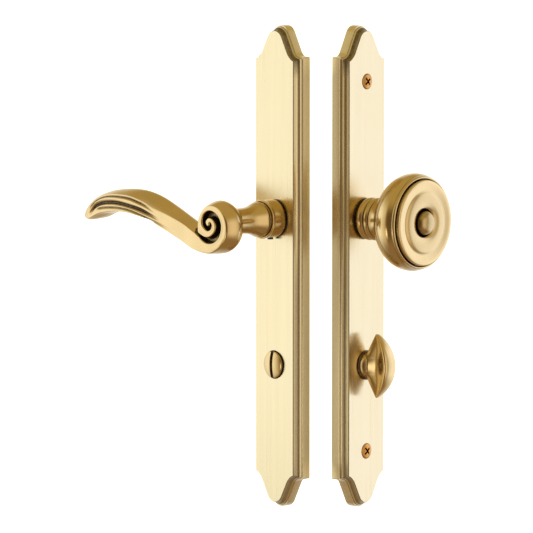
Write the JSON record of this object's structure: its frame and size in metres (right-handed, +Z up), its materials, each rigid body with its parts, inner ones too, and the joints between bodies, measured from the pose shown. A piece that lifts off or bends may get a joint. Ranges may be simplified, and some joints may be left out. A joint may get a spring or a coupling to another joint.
{
  "type": "narrow trim lockset",
  "caption": "Narrow door lockset: a scrolled lever plate with a coin-slot release, and a round knob plate with a crescent thumbturn, standing back to back in a V.",
  "frame": {"origin": "centre of the lever axis at the back face of the outer plate", "axes": "+Z up along the plates; -Y out of the outer plate's face towards the lever; the lever arm points to -X; the inner plate's face looks 98.2 degrees round from it, to +X and a little +Y"},
  "size_m": [0.2057, 0.1203, 0.2815],
  "materials": {
    "plate_brass": "satin brushed lengthwise, darker in the border cove",
    "handle_brass": "antique satin, dark in the recesses, bright on the edges",
    "screw_brass": "plated, darker and more orange than the plates",
    "set_screw_steel": "black oxide",
    "bush_bronze": "machined bronze",
    "steel": "zinc plated",
    "spring_steel": "oiled spring steel"
  },
  "bodies": {
    "plates": {"outer_plate": "plate_brass", "outer_bushing": "bush_bronze", "outer_washer": "bush_bronze", "outer_spring_pin": "steel", "outer_post_upper": "steel", "outer_post_lower": "steel", "inner_plate": "plate_brass", "inner_bushing": "bush_bronze", "inner_washer": "bush_bronze", "inner_spring_pin": "steel", "inner_screw_upper": "screw_brass", "inner_screw_lower": "screw_brass"},
    "lever_set": {"lever": "handle_brass", "lever_set_screw": "set_screw_steel", "outer_retaining_ring": "spring_steel", "outer_spring_cam": "steel", "outer_return_spring": "spring_steel", "outer_spindle": "steel"},
    "release_set": {"release_button": "handle_brass", "release_clip": "spring_steel", "release_tailpiece": "steel"},
    "knob_set": {"knob_body": "handle_brass", "knob_shank": "handle_brass", "knob_button": "handle_brass", "knob_set_screw": "set_screw_steel", "inner_retaining_ring": "spring_steel", "inner_spring_cam": "steel", "inner_return_spring": "spring_steel", "inner_spindle": "steel"},
    "thumbturn_set": {"thumbturn": "handle_brass", "thumbturn_clip": "spring_steel", "thumbturn_tailpiece": "steel"}
  },
  "joints": [
    {"name": "lever_turn", "type": "hinge", "parent": "plates", "child": "lever_set", "pos_m": [0, 0, 0], "axis": [0, -1, 0], "range_deg": [-45, 45], "stiffness_Nm_per_rad": 1.6, "springref_deg": -2.64, "deforming": ["outer_return_spring"]},
    {"name": "release_turn", "type": "hinge", "parent": "plates", "child": "release_set", "pos_m": [0, 0, -0.0857], "axis": [0, -1, 0], "range_deg": [0, 90]},
    {"name": "knob_turn", "type": "hinge", "parent": "plates", "child": "knob_set", "pos_m": [0.0269, 0.0267, 0], "axis": [0.9898, 0.1426, 0], "range_deg": [-45, 45], "stiffness_Nm_per_rad": 0.5, "deforming": ["inner_return_spring"]},
    {"name": "thumbturn_turn", "type": "hinge", "parent": "plates", "child": "thumbturn_set", "pos_m": [0.0269, 0.0267, -0.0857], "axis": [0.9898, 0.1426, 0], "range_deg": [0, 90]}
  ]
}
